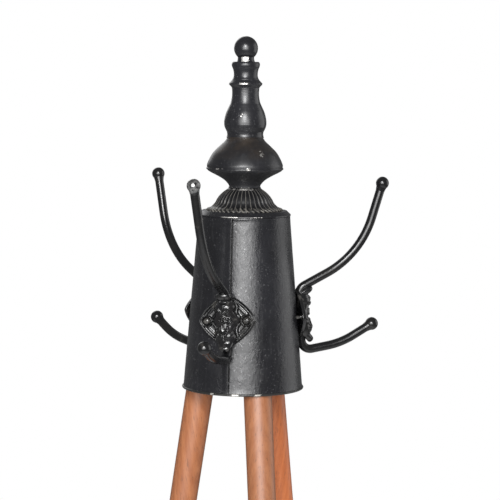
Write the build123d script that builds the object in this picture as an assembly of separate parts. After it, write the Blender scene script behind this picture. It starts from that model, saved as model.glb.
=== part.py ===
"""Free-standing coat stand: a conical sheet-metal head on three splayed wooden legs.

The head carries three cast double hooks and a spun finial.
Millimetres, +Z up.  The origin is on the floor, on the stand's vertical axis, and one hook faces -Y.
An azimuth is measured about +Z from -Y towards +X.
"""

from build123d import *
import math
import os

# ---- overall ---------------------------------------------------------------------------
total_height = 1800.0
clearance = 0.2             # gap round every bolt
slot_width, slot_depth = 0.8, 0.7
leg_azimuths = {"front": 36.4, "rear": 156.4, "left": 276.4}
hook_azimuths = {"front": 0.0, "right": 120.0, "left": 240.0}

# ---- conical head ----------------------------------------------------------------------
mouth_z = 1361.0            # lower edge of the head
cone_top_z = 1578.0
mouth_radius = 75.0
cone_top_radius = 57.2
sheet = 1.5
seam_azimuth = 2.0          # where the sheet's two edges meet
seam_gap = 0.5
seam_lap = 12.0             # width of the joggled flap behind the seam
mouth_bead_radius = 1.4     # half-round bead that stiffens the mouth

# ---- cap -------------------------------------------------------------------------------
cap_height = 6.0
cap_flat_radius = 53.0
cap_overhang = 0.6
cap_flange_depth = 9.0

# ---- crown, mouth plate and tie rod ----------------------------------------------------
crown_z = 1530.0            # underside of the crown's plate
crown_thickness = 5.0
crown_radius = 52.0
socket_length = 62.0
socket_wall = 2.5
mouth_plate_z = 1375.0
mouth_plate_thickness = 3.0
tie_rod_radius = 4.0
spacer_radius = 9.0
cross_bolt_radius = 3.0
cross_bolt_z = 1496.0

# ---- legs ------------------------------------------------------------------------------
leg_radius = 17.5
leg_foot_radius = 14.8      # the legs taper below the head
leg_spread = 0.1445         # outward run for each millimetre down
leg_mouth_offset = 54.1     # leg axis to stand axis, level with the mouth
glide_height = 8.0
glide_radius = 14.0
glide_screw_radius = 1.9
glide_screw_length = 26.0

# ---- finial: smooth outer lines as (radius, height above the piece's base) -------------
spun_thickness = 1.6
bell_line = [(47.5, 0), (45.8, 2.3), (40.4, 5.6), (36.8, 9.4), (34.4, 14), (31.1, 18.6), (26.5, 23), (20, 28)]
bowl_lower_line = [(19.3, 0), (20.4, 4), (25.4, 9.5), (33, 14.4), (43.2, 19.6), (46.8, 22), (47.9, 24.5)]
bowl_upper_line = [(47.9, 0), (47.3, 5.3), (43.8, 12.8), (39.1, 20.3), (31.6, 27.8), (25.4, 33.6), (22.8, 39)]
vase_line = [(22.8, 0), (22.7, 4.6), (24.2, 9.2), (26.2, 15.4), (25.9, 22), (23.9, 30), (18.6, 41.6),
             (16.9, 50), (17.1, 60.8)]
ring_line = [(17.3, 0), (18.7, 2), (20.8, 5), (19.4, 6.9), (17.6, 9)]
collar_line = [(17.4, 0), (15.6, 3), (14.8, 8), (16.2, 15)]
lip_line = [(16.2, 0), (17.5, 4.2), (17.1, 6.6), (15.8, 8.1)]
neck_line = [(11.2, 0), (10.5, 2), (10.5, 8.2)]
ball_radius = 14.9

# ---- hooks: drawn facing -Y, as (distance from the stand's axis, height) ---------------
hook_lean = 3.3             # every hook is screwed on slightly out of plumb
rod_radius = 5.5
tip_ball_radius = 8.2
tip_neck_radius, tip_neck_length = 6.5, 5.5    # flare where each arm meets its ball
# the arms are bent by hand, so the balls stand a little differently on each hook
upper_balls = {"front": (176.3, 1624.0), "right": (176.5, 1618.0), "left": (175.0, 1622.0)}
lower_balls = {"front": (165.5, 1432.0), "right": (168.2, 1438.0), "left": (163.5, 1434.3)}
upper_tip_slope = 74.0
upper_root = (88.8, 1494.6)
upper_root_slope = 28.0
upper_bend, upper_sweep = 13.0, 116.0
lower_tip_slope = 31.0
lower_root = (94.0, 1408.0)
lower_root_slope = 10.0
lower_bend, lower_sweep = 12.0, 100.0

# ---- hook plates: flat castings; (u, v) run sideways and up the plate from its centre --
plate_z = 1453.0
plate_half_width, plate_half_height = 36.3, 32.0
plate_power = 1.4           # superellipse between a lozenge (1) and an ellipse (2)
plate_standoff, plate_skin, plate_rim = 0.3, 2.8, 4.4
rim_width = 2.6
# ornament over the shank: its right-hand outline, its side profile (out, v) and its cross-section (u, out)
ornament_half = [(0, 36), (10, 30), (12.4, 21), (14.6, 12), (18.8, 3.4), (18.8, -0.6), (13.2, -7),
                 (12.2, -12.5), (14.2, -18.5), (12.4, -27), (0, -36)]
ornament_profile = [(0.3, 24), (7, 24), (15, 23), (19.6, 20), (19.2, 14), (17, 8), (14.8, 3.4), (15.8, -1),
                    (15.8, -6), (17.2, -13), (19, -19), (18.6, -24), (12, -27), (0.3, -26)]
ornament_arch = [(19.4, 0.3), (16.6, 5), (13.4, 10), (10.4, 14), (6.4, 17.4), (0, 19.8)]
upper_tongue = [(5, 22), (6, 25), (16.6, 31.6), (19.6, 33.4), (22.2, 30.6), (22, 26.4), (19, 21.6), (12, 18)]
lower_tongue = [(6, -24), (8, -28), (14, -31), (20, -34.2), (22, -33), (21.4, -29.2), (18, -22), (10, -20)]
tongue_half_width = 10.4
eye_place, eye_radius, eye_height = (-2.0, 1.4), 4.4, 17.4
flower_place, flower_radius, flower_height = (7.0, -0.4), 4.0, 16.6
screw_reach = 25.3          # each side of the plate's centre
screw_radius = 2.0
screw_head_radius, screw_head_height = 4.4, 3.2
cup_radius, cup_height, cup_floor = 7.0, 5.4, 3.4
nut_height = 3.0

# ---- derived ---------------------------------------------------------------------------
cone_slope = (mouth_radius - cone_top_radius) / (cone_top_z - mouth_z)
cone_angle = math.degrees(math.atan(cone_slope))
cap_top_z = cone_top_z + cap_height
bowl_z = cap_top_z + bell_line[-1][1]
bowl_seam_z = bowl_z + bowl_lower_line[-1][1]
vase_z = bowl_seam_z + bowl_upper_line[-1][1]
ring_z = vase_z + vase_line[-1][1]
collar_z = ring_z + ring_line[-1][1]
lip_z = collar_z + collar_line[-1][1]
neck_z = lip_z + lip_line[-1][1]
ball_z = total_height - ball_radius

STANDING = (Align.CENTER, Align.CENTER, Align.MIN)


def cone_radius(z):
    """Outer radius of the conical head at height z."""
    return mouth_radius - cone_slope * (z - mouth_z)


def leg_offset(z):
    """Distance of a leg's axis from the stand's axis at height z."""
    return leg_mouth_offset + leg_spread * (mouth_z - z)


def turned(*outline):
    """Solid of revolution from a closed outline of (radius, z) corners."""
    return revolve(Plane.XZ * make_face(Polyline(*outline, close=True)), Axis.Z, 360)


def post(radius, low, high):
    """Upright round bar on the stand's axis."""
    return Pos(0, 0, low) * Cylinder(radius, high - low, align=STANDING)


def drilled_post(radius, low, high):
    """Upright round bar with the tie rod's clearance hole."""
    return post(radius, low, high) - post(tie_rod_radius + clearance, low - 1, high + 1)


def hex_nut(across_flats, height, bore):
    """Hexagon nut standing on the local XY plane."""
    nut = extrude(RegularPolygon(across_flats / 2, 6, major_radius=False), height)
    return nut - Pos(0, 0, -1) * Cylinder(bore, height + 2, align=STANDING)


def domed_screw(head_radius, head_height, shank_radius, length):
    """Slotted dome-head screw: the head stands on the local XY plane, the shank points down."""
    half_head = make_face([
        ThreePointArc((head_radius, 0), (head_radius * 0.72, head_height * 0.7), (0, head_height)),
        Line((0, head_height), (0, 0)),
        Line((0, 0), (head_radius, 0)),
    ])
    head = revolve(Plane.XZ * half_head, Axis.Z, 360)
    slot = Pos(0, 0, head_height) * Box(3 * head_radius, slot_width, 2 * slot_depth)
    return head - slot + Pos(0, 0, -length) * Cylinder(shank_radius, length, align=STANDING)


def save(name, *shapes):
    """Writes one sub-part; several shapes become a group of separate solids."""
    shape = shapes[0] if len(shapes) == 1 else Compound(children=list(shapes))
    export_step(shape, f"parts/{name}.step")


os.makedirs("parts", exist_ok=True)

# ======== conical head ==================================================================


def cone_skin(inner, outer, low, high):
    """Conical skin between two offsets from the head's outer surface."""
    return turned(
        (cone_radius(low) + inner, low),
        (cone_radius(low) + outer, low),
        (cone_radius(high) + outer, high),
        (cone_radius(high) + inner, high),
    )


def seam_slab(width, low, high):
    """Upright slab from the axis outwards through the seam."""
    slab = Pos(0, -mouth_radius / 2 - 5, (low + high) / 2) * Box(width, mouth_radius + 10, high - low)
    return Rot(0, 0, seam_azimuth) * slab


def plate_frame(hook_azimuth):
    """Frame at a plate's centre on the head's surface: x is sideways, y up the plate and z straight out."""
    on_head = Pos(0, -cone_radius(plate_z), plate_z)
    return Rot(0, 0, hook_azimuth) * on_head * Rot(90 - cone_angle, 0, hook_lean)


def plate_screw_place(hook_azimuth, side):
    """Frame of one plate screw, level with the plate's back."""
    return plate_frame(hook_azimuth) * Pos(side * screw_reach, 0, 0)


def cone_shell():
    """Rolled sheet: a fine open seam line outside, backed by the sheet's own joggled edge."""
    shell = cone_skin(-sheet, 0, mouth_z, cone_top_z) - seam_slab(seam_gap, mouth_z - 1, cone_top_z + 1)
    low = mouth_plate_z + mouth_plate_thickness + 1
    high = cone_top_z - cap_flange_depth - 2
    shell += cone_skin(-2 * sheet, -sheet, low, high) & seam_slab(seam_lap, low, high)
    for hook_azimuth in hook_azimuths.values():
        for side in (-1, 1):
            shell -= plate_screw_place(hook_azimuth, side) * Cylinder(screw_radius + clearance, 30)
    return shell


def mouth_bead():
    """Half-round bead round the outside of the mouth."""
    centre = (cone_radius(mouth_z + mouth_bead_radius), mouth_z + mouth_bead_radius)
    wire = revolve(Plane.XZ * (Pos(*centre) * Circle(mouth_bead_radius)), Axis.Z, 360)
    return wire - cone_skin(-20, 0, mouth_z - 5, mouth_z + 10)


def top_cap():
    """Pressed pan that closes the head; its flange plugs the cone."""
    bore = cone_radius(cone_top_z) - sheet - 0.1
    rim = cone_top_radius + cap_overhang
    pan = turned(
        (0, cap_top_z),
        (cap_flat_radius, cap_top_z),
        (rim, cone_top_z + 1.4),
        (rim, cone_top_z),
        (bore, cone_top_z),
        (bore, cone_top_z - cap_flange_depth),
        (bore - sheet, cone_top_z - cap_flange_depth),
        (bore - sheet, cone_top_z + 0.8),
        (cap_flat_radius - 2.5, cap_top_z - sheet),
        (0, cap_top_z - sheet),
    )
    return pan - post(tie_rod_radius + clearance, cap_top_z - 10, cap_top_z + 10)


save("cone_shell", cone_shell())
save("mouth_bead", mouth_bead())
save("top_cap", top_cap())

# ======== legs, crown and mouth plate ===================================================
leg_stretch = math.hypot(1, leg_spread)


def leg_bar(azimuth, radius, low, high, low_radius=None):
    """Bar along a leg's axis between two heights, with square ends; low_radius tapers it."""
    axis_frame = Plane(origin=(leg_offset(low), 0, low), x_dir=(0, 1, 0), z_dir=(-leg_spread, 0, 1))
    length = (high - low) * leg_stretch
    if low_radius is None:
        bar = Cylinder(radius, length, align=STANDING)
    else:
        bar = Cone(low_radius, radius, length, align=STANDING)
    return Rot(0, 0, azimuth - 90) * (axis_frame * bar)


def above(z):
    """Everything above height z."""
    return Pos(0, 0, z) * Box(1000, 1000, 500, align=STANDING)


def below(z):
    """Everything below height z."""
    return Pos(0, 0, z - 500) * Box(1000, 1000, 500, align=STANDING)


def cross_bolt_place(azimuth):
    """Frame of a cross bolt on a leg's axis: its Z runs sideways through the leg."""
    return Rot(0, 0, azimuth) * Pos(0, -leg_offset(cross_bolt_z), cross_bolt_z) * Rot(0, 90, 0)


def cross_bolt_hole(azimuth):
    return cross_bolt_place(azimuth) * Cylinder(cross_bolt_radius + clearance, 80)


def leg_crown():
    """Casting that holds the three legs: a round plate with three splayed sockets."""
    bore = leg_radius + clearance
    plate = drilled_post(crown_radius, crown_z, crown_z + crown_thickness)
    low = crown_z - socket_length
    for azimuth in leg_azimuths.values():
        plate += leg_bar(azimuth, bore + socket_wall, low, crown_z + 20) - above(crown_z + 2)
    for azimuth in leg_azimuths.values():
        plate -= leg_bar(azimuth, bore, low - 20, crown_z + 20) - above(crown_z)
        plate -= cross_bolt_hole(azimuth)
    return plate


def mouth_plate():
    """Disc inside the mouth that keeps the legs apart."""
    low, high = mouth_plate_z, mouth_plate_z + mouth_plate_thickness
    disc = turned((0, low), (cone_radius(low) - sheet, low), (cone_radius(high) - sheet, high), (0, high))
    for azimuth in leg_azimuths.values():
        disc -= leg_bar(azimuth, leg_radius + clearance, low - 30, high + 30)
    return disc


def cross_bolt(azimuth):
    reach = leg_radius + clearance + socket_wall + 0.1
    bolt = domed_screw(5.2, 3.2, cross_bolt_radius, 2 * reach + 7)
    return cross_bolt_place(azimuth) * Pos(0, 0, reach) * bolt


def cross_bolt_nut(azimuth):
    reach = leg_radius + clearance + socket_wall + 0.1
    return cross_bolt_place(azimuth) * Pos(0, 0, -reach - 5) * hex_nut(10, 5, cross_bolt_radius)


def foot_place(azimuth):
    """Upright frame on the floor under a leg."""
    return Rot(0, 0, azimuth) * Pos(0, -leg_offset(0), 0)


def leg(azimuth):
    """Turned leg: parallel inside the head, then a long straight taper to the foot."""
    low = -20
    taper = (leg_radius - leg_foot_radius) / (mouth_z - glide_height)
    low_radius = leg_foot_radius - taper * (glide_height - low)
    body = leg_bar(azimuth, leg_radius, mouth_z, crown_z + 20)
    body += leg_bar(azimuth, leg_radius, low, mouth_z, low_radius)
    body -= above(crown_z)
    body -= below(glide_height)
    body -= cross_bolt_hole(azimuth)
    pilot = Cylinder(glide_screw_radius, glide_height + glide_screw_length + 1, align=STANDING)
    return body - foot_place(azimuth) * pilot


def foot_glide(azimuth):
    """Moulded rubber glide, recessed for its screw."""
    pad = Cylinder(glide_radius, glide_height, align=STANDING)
    pad = chamfer(pad.edges().sort_by(Axis.Z)[0], 1.5)
    pad -= Cylinder(4.4, 3.0, align=STANDING)
    pad -= Cylinder(glide_screw_radius + clearance, glide_height, align=STANDING)
    return foot_place(azimuth) * pad


def glide_screw(azimuth):
    screw = domed_screw(4.0, 2.2, glide_screw_radius, glide_height - 3.0 + glide_screw_length)
    return foot_place(azimuth) * Pos(0, 0, 3.0) * Rot(180, 0, 0) * screw


save("leg_crown", leg_crown())
save("mouth_plate", mouth_plate())
for side, azimuth in leg_azimuths.items():
    save(f"leg_{side}", leg(azimuth))
    save(f"foot_glide_{side}", foot_glide(azimuth))
save("cross_bolts", *[cross_bolt(azimuth) for azimuth in leg_azimuths.values()])
save("cross_bolt_nuts", *[cross_bolt_nut(azimuth) for azimuth in leg_azimuths.values()])
save("glide_screws", *[glide_screw(azimuth) for azimuth in leg_azimuths.values()])

# ======== finial and its tie rod ========================================================


def spun(line, base_z, web_at_top):
    """Spun shell under a smooth (radius, height) line, with a flat web where it is clamped."""
    outer = [(r, base_z + h) for r, h in line]
    inner = []
    for i, (r, z) in enumerate(outer):
        before, after = outer[max(i - 1, 0)], outer[min(i + 1, len(outer) - 1)]
        run = math.hypot(after[0] - before[0], after[1] - before[1])
        inward = ((before[1] - after[1]) / run, (after[0] - before[0]) / run)
        if i in (0, len(outer) - 1):
            inward = (-1, 0)
        inner.append((r + spun_thickness * inward[0], z + spun_thickness * inward[1]))
    section = make_face([
        Spline(*outer),
        Line(outer[-1], inner[-1]),
        Spline(*reversed(inner)),
        Line(inner[0], outer[0]),
    ])
    shell = revolve(Plane.XZ * section, Axis.Z, 360)
    end = outer[-1] if web_at_top else outer[0]
    low = end[1] - spun_thickness if web_at_top else end[1]
    return shell + drilled_post(end[0] - spun_thickness / 2, low, low + spun_thickness)


def solid_turning(line, base_z):
    """Drilled solid turning under a smooth (radius, height) line."""
    outer = [(r, base_z + h) for r, h in line]
    low, high = base_z, outer[-1][1]
    section = make_face([
        Spline(*outer),
        Polyline(outer[-1], (0, high), (0, low), outer[0]),
    ])
    disc = revolve(Plane.XZ * section, Axis.Z, 360)
    return disc - post(tie_rod_radius + clearance, low - 1, high + 1)


save("finial_bell", spun(bell_line, cap_top_z, True))
save("finial_bowl_lower", spun(bowl_lower_line, bowl_z, False))
save("finial_bowl_upper", spun(bowl_upper_line, bowl_seam_z, True))
save("finial_vase", spun(vase_line, vase_z, False))
save("finial_ring", solid_turning(ring_line, ring_z))
save("finial_collar", spun(collar_line, collar_z, False))
save("finial_lip", solid_turning(lip_line, lip_z))
save("finial_neck", solid_turning(neck_line, neck_z) - Pos(0, 0, ball_z) * Sphere(ball_radius))

tie_rod_top = ball_z + 4
save("finial_ball", Pos(0, 0, ball_z) * Sphere(ball_radius) - post(tie_rod_radius, ball_z - 20, tie_rod_top))
washer_z = crown_z - 2
save("tie_rod", post(tie_rod_radius, washer_z - 12, tie_rod_top))
save("tie_rod_washer", drilled_post(8, washer_z, crown_z))
save("tie_rod_nut", Pos(0, 0, washer_z - 6.5) * hex_nut(13, 6.5, tie_rod_radius))
save("tie_rod_spacer", drilled_post(spacer_radius, crown_z + crown_thickness, cap_top_z - sheet))

# ======== hooks =========================================================================
lean = Pos(0, 0, plate_z) * Rot(0, -hook_lean, 0) * Pos(0, 0, -plate_z)


def crossing(a, slope_a, b, slope_b):
    """Where the lines through a and b, sloping at the given degrees, cross."""
    rise_a, rise_b = math.tan(math.radians(slope_a)), math.tan(math.radians(slope_b))
    run = (b[1] - a[1] + rise_a * a[0] - rise_b * b[0]) / (rise_a - rise_b)
    return (run, a[1] + rise_a * (run - a[0]))


shank_slope = 90 + cone_angle
shank_middle = (cone_radius(plate_z) + (rod_radius + 0.2) / math.cos(math.radians(cone_angle)), plate_z)
upper_heel = crossing(shank_middle, shank_slope, upper_root, upper_root_slope)
lower_heel = crossing(shank_middle, shank_slope, lower_root, lower_root_slope)


def hook_bar(side, radius):
    """The hook's bent rod, without its balls."""
    upper_ball, lower_ball = upper_balls[side], lower_balls[side]
    upper_elbow = crossing(upper_ball, upper_tip_slope, upper_root, upper_root_slope)
    lower_elbow = crossing(lower_ball, lower_tip_slope, lower_root, lower_root_slope)
    corners = [upper_ball, upper_elbow, upper_heel, lower_heel, lower_elbow, lower_ball]
    path = Plane.XZ * FilletPolyline(*corners, radius=[upper_sweep, upper_bend, lower_bend, lower_sweep])
    bar = sweep(Plane(origin=path @ 0, z_dir=path % 0) * Circle(radius), path=path)
    return lean * Rot(0, 0, -90) * bar


def hook_rod(side):
    """One bent rod with a ball forged on each end."""
    hook = hook_bar(side, rod_radius)
    neck_start = math.sqrt(tip_ball_radius ** 2 - tip_neck_radius ** 2) - 0.3
    for (reach, height), slope in ((upper_balls[side], upper_tip_slope), (lower_balls[side], lower_tip_slope)):
        tip = lean * Pos(0, -reach, height)
        flare = Cone(tip_neck_radius, rod_radius, tip_neck_length, align=STANDING)
        hook += tip * Rot(-90 - slope, 0, 0) * Pos(0, 0, neck_start) * flare
        hook += tip * Sphere(tip_ball_radius)
    return hook


# ======== hook plates ===================================================================


def lozenge(inset):
    """Rounded lozenge face, centred on the plate."""
    half_width, half_height = plate_half_width - inset, plate_half_height - inset
    bulge = 2 ** (-1 / plate_power)
    right, top = (half_width, 0), (0, half_height)
    shoulder = (half_width * bulge, half_height * bulge)
    quarter = Spline(right, shoulder, top, tangents=[(0, 1), (-1, 0)])
    quarters = [quarter, mirror(quarter, Plane.YZ), mirror(quarter, Plane.XZ)]
    quarters.append(mirror(quarters[1], Plane.XZ))
    return make_face(quarters)


def raised(sketch, low, high):
    """Prism of a plate sketch between two heights above the plate's back."""
    return Pos(0, 0, low) * extrude(sketch, high - low)


def from_side(profile, half_width):
    """Prism across the plate from a side profile of (out, v) corners."""
    side = Plane(origin=(0, 0, 0), x_dir=(0, 0, 1), z_dir=(-1, 0, 0))
    return extrude(side * make_face(Polyline(*profile, close=True)), half_width, both=True)


def both_halves(half):
    """Closed outline from its right-hand half, whose ends lie on the centre line."""
    return make_face(Polyline(*half, *[(-u, v) for u, v in reversed(half[1:-1])], close=True))


def ornament():
    """Domed foliage over the shank, spreading to the screw cups, with a curled tongue at each end."""
    section = Plane(origin=(0, 0, 0), x_dir=(1, 0, 0), z_dir=(0, -1, 0))
    arch = [*ornament_arch, *[(-u, out) for u, out in reversed(ornament_arch[:-1])]]
    dome = extrude(section * make_face(Polyline(*arch, close=True)), 2 * plate_half_height, both=True)
    body = from_side(ornament_profile, plate_half_width) & dome & raised(both_halves(ornament_half), 0, 30)
    tongue_sketch = Ellipse(tongue_half_width + 1.6, plate_half_height + 7)
    for profile in (upper_tongue, lower_tongue):
        body += from_side(profile, tongue_half_width) & raised(tongue_sketch, 0, 30)
    return body


def hook_plate():
    """Flat cast lozenge plate, with the shank's channel behind its ornament."""
    plate = raised(lozenge(0), plate_standoff, plate_skin)
    plate += raised(lozenge(0) - lozenge(rim_width), plate_standoff, plate_rim)
    for side in (-1, 1):
        plate += Pos(side * screw_reach, 0) * raised(Circle(cup_radius), plate_standoff, cup_height)
    plate += ornament()
    plate += Pos(*eye_place) * raised(Circle(eye_radius), 10, eye_height)
    plate += Pos(*flower_place) * raised(Circle(flower_radius), 10, flower_height)
    for side in (-1, 1):
        place = Pos(side * screw_reach, 0)
        plate -= place * raised(Circle(screw_radius + clearance), -1, 20)
        plate -= place * raised(Circle(screw_head_radius + 0.6), cup_floor, 20)
    plate = plate_frame(0) * plate - hook_bar("front", rod_radius + 0.3)
    shank_length = upper_heel[1] - lower_heel[1]
    slot = Pos(0, 0, shank_length / 2) * Box(2 * rod_radius + 0.6, 30, shank_length)
    behind = Pos(0, -shank_middle[0] + 15, shank_middle[1]) * Rot(-cone_angle, 0, 0)
    return plate - lean * behind * Pos(0, 0, -shank_length / 2) * slot


def sheet_depth():
    """How far behind a plate's back the inside of the sheet is, at the inner edge of a screw's nut."""
    wall = cone_radius(plate_z)
    fall_away = wall - math.sqrt(wall ** 2 - (screw_reach + 3.5) ** 2)
    return fall_away + sheet / math.cos(math.asin(screw_reach / wall))


def plate_screw(azimuth, side):
    """Screw from its cup through the gap and the sheet to its nut."""
    length = cup_floor + sheet_depth() + nut_height + 2
    screw = domed_screw(screw_head_radius, screw_head_height, screw_radius, length)
    return plate_screw_place(azimuth, side) * Pos(0, 0, cup_floor) * screw


def plate_screw_nut(azimuth, side):
    depth = sheet_depth() + nut_height + 0.3
    return plate_screw_place(azimuth, side) * Pos(0, 0, -depth) * hex_nut(7, nut_height, screw_radius)


plate = hook_plate()
for side, azimuth in hook_azimuths.items():
    save(f"hook_rod_{side}", Rot(0, 0, azimuth) * hook_rod(side))
    save(f"hook_plate_{side}", Rot(0, 0, azimuth) * plate)
screw_sites = [(azimuth, side) for azimuth in hook_azimuths.values() for side in (-1, 1)]
save("plate_screws", *[plate_screw(*site) for site in screw_sites])
save("plate_screw_nuts", *[plate_screw_nut(*site) for site in screw_sites])
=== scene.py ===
"""The looks of the coat stand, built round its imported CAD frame.

Metres, +Z up, the front hook faces -Y.  An azimuth is measured about +Z from -Y towards +X.
"""

import math

import bmesh
import bpy
from mathutils import Matrix, Vector, noise


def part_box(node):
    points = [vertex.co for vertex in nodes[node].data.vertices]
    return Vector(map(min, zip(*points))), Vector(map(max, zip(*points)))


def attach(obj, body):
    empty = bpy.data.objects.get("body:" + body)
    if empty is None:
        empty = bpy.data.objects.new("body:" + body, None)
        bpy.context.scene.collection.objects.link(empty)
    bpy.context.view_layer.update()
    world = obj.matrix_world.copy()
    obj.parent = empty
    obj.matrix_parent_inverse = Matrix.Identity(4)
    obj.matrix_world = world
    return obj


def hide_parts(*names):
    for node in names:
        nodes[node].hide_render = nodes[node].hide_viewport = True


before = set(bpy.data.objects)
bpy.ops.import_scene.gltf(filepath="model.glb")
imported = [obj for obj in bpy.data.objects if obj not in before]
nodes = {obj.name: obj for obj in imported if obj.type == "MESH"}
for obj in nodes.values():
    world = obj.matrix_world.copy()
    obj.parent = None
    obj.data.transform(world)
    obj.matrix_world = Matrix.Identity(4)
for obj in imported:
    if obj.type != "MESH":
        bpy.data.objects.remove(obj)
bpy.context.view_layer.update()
MM = 0.001

# ---- places that the frame gives ---------------------------------------------------------
cone_low, cone_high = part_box("cone_shell")
mouth_z, cone_top_z = cone_low.z, cone_high.z
mouth_radius = cone_high.x
bell_low, bell_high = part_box("finial_bell")
bowl_low, bowl_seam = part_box("finial_bowl_lower")
vase_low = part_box("finial_vase")[0]
hook_azimuths = {"front": 0.0, "right": 120.0, "left": 240.0}
leg_azimuths = {"front": 36.4, "rear": 156.4, "left": 276.4}
# Each leg's stain shares are partly a real difference in the stain and partly painted light: darker on the
# well-lit front leg, lighter on the rear leg.
leg_stain_and_light_shares = {"front": (0.72, 0.81, 0.90), "rear": (1.30, 1.10, 0.90), "left": (0.82, 0.90, 0.98)}

# ---- places repeated from part.py --------------------------------------------------------
cone_top_radius = 57.2 * MM
plate_z = 1453 * MM
seam_foot, seam_head = 2.7, 1.6      # azimuth of the seam at the mouth and at the top
hook_lean = math.radians(3.3)
tip_ball_radius = 8.2 * MM
leg_spread = 0.1445                  # outward run of a leg for each metre down
leg_offset_at_mouth = 54.1 * MM
leg_radius, leg_foot_radius = 17.5 * MM, 14.8 * MM
cross_bolt_z, cross_bolt_hole = 1496 * MM, 3.2 * MM
glide_screw_hole, glide_screw_hole_depth = 1.9 * MM, 27 * MM


def cone_radius(z):
    """Outer radius of the conical head at height z."""
    share = (z - mouth_z) / (cone_top_z - mouth_z)
    return mouth_radius + (cone_top_radius - mouth_radius) * share


def seam_azimuth(z):
    """Azimuth of the head's seam, in degrees, at height z."""
    return seam_foot + (seam_head - seam_foot) * (z - mouth_z) / (cone_top_z - mouth_z)


def smoothstep(low, high, value):
    """0 below low, 1 above high, and an S-curve between."""
    t = min(max((value - low) / (high - low), 0.0), 1.0)
    return t * t * (3 - 2 * t)


def bump_at(value, centre, half_width):
    """Round bump, 1 at its centre and 0 beyond its half width."""
    t = abs(value - centre) / half_width
    return 0.0 if t >= 1 else 0.5 + 0.5 * math.cos(math.pi * t)


def grain_noise(x, y, z, scale):
    """Smooth noise between about -1 and 1."""
    return noise.noise(Vector((x * scale, y * scale, z * scale)))


# ======== mesh tools ======================================================================


def add_piece(name, verts, faces, material, node_names):
    """A new mesh piece in the row frame that stands for these CAD nodes."""
    mesh = bpy.data.meshes.new(name)
    mesh.from_pydata([tuple(v) for v in verts], [], faces)
    mesh.validate()
    mesh.shade_smooth()
    piece = bpy.data.objects.new(name, mesh)
    bpy.context.scene.collection.objects.link(piece)
    mesh.materials.append(material)
    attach(piece, "root")
    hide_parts(*node_names)
    return piece


def ring_grid(rows, columns, point, closed_rows=False):
    """Vertices and faces of a band round Z: point(row, column) gives each vertex."""
    verts = [point(row, column) for row in range(rows) for column in range(columns)]
    faces = []
    for row in range(rows if closed_rows else rows - 1):
        this, above = row * columns, ((row + 1) % rows) * columns
        for column in range(columns):
            beside = (column + 1) % columns
            faces.append((this + column, this + beside, above + beside, above + column))
    return verts, faces


def on_axis(radius, azimuth, z):
    """Point at a radius and azimuth (radians) about the stand's axis."""
    return Vector((radius * math.sin(azimuth), -radius * math.cos(azimuth), z))


def smooth_line(points, steps):
    """Catmull-Rom curve through points, with this many steps between neighbours."""
    ends = [points[0], *points, points[-1]]
    line = []
    for i in range(1, len(ends) - 2):
        a, b, c, d = (Vector(p) for p in ends[i - 1:i + 3])
        for step in range(steps):
            t = step / steps
            line.append(0.5 * (2 * b + (c - a) * t + (2 * a - 5 * b + 4 * c - d) * t * t
                               + (3 * b - a - 3 * c + d) * t ** 3))
    line.append(Vector(points[-1]))
    return line


def lathe(name, outline, columns, shape, material, node_names):
    """Closed ring turned from an outline of (radius, z) points.

    shape(r, azimuth, z, row) adjusts each point.
    """
    def point(row, column):
        azimuth = math.tau * column / columns
        r, z = outline[row]
        r, z = shape(r, azimuth, z, row)
        return on_axis(r, azimuth, z)
    verts, faces = ring_grid(len(outline), columns, point, closed_rows=True)
    return add_piece(name, verts, faces, material, node_names)


# ======== materials =======================================================================


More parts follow.
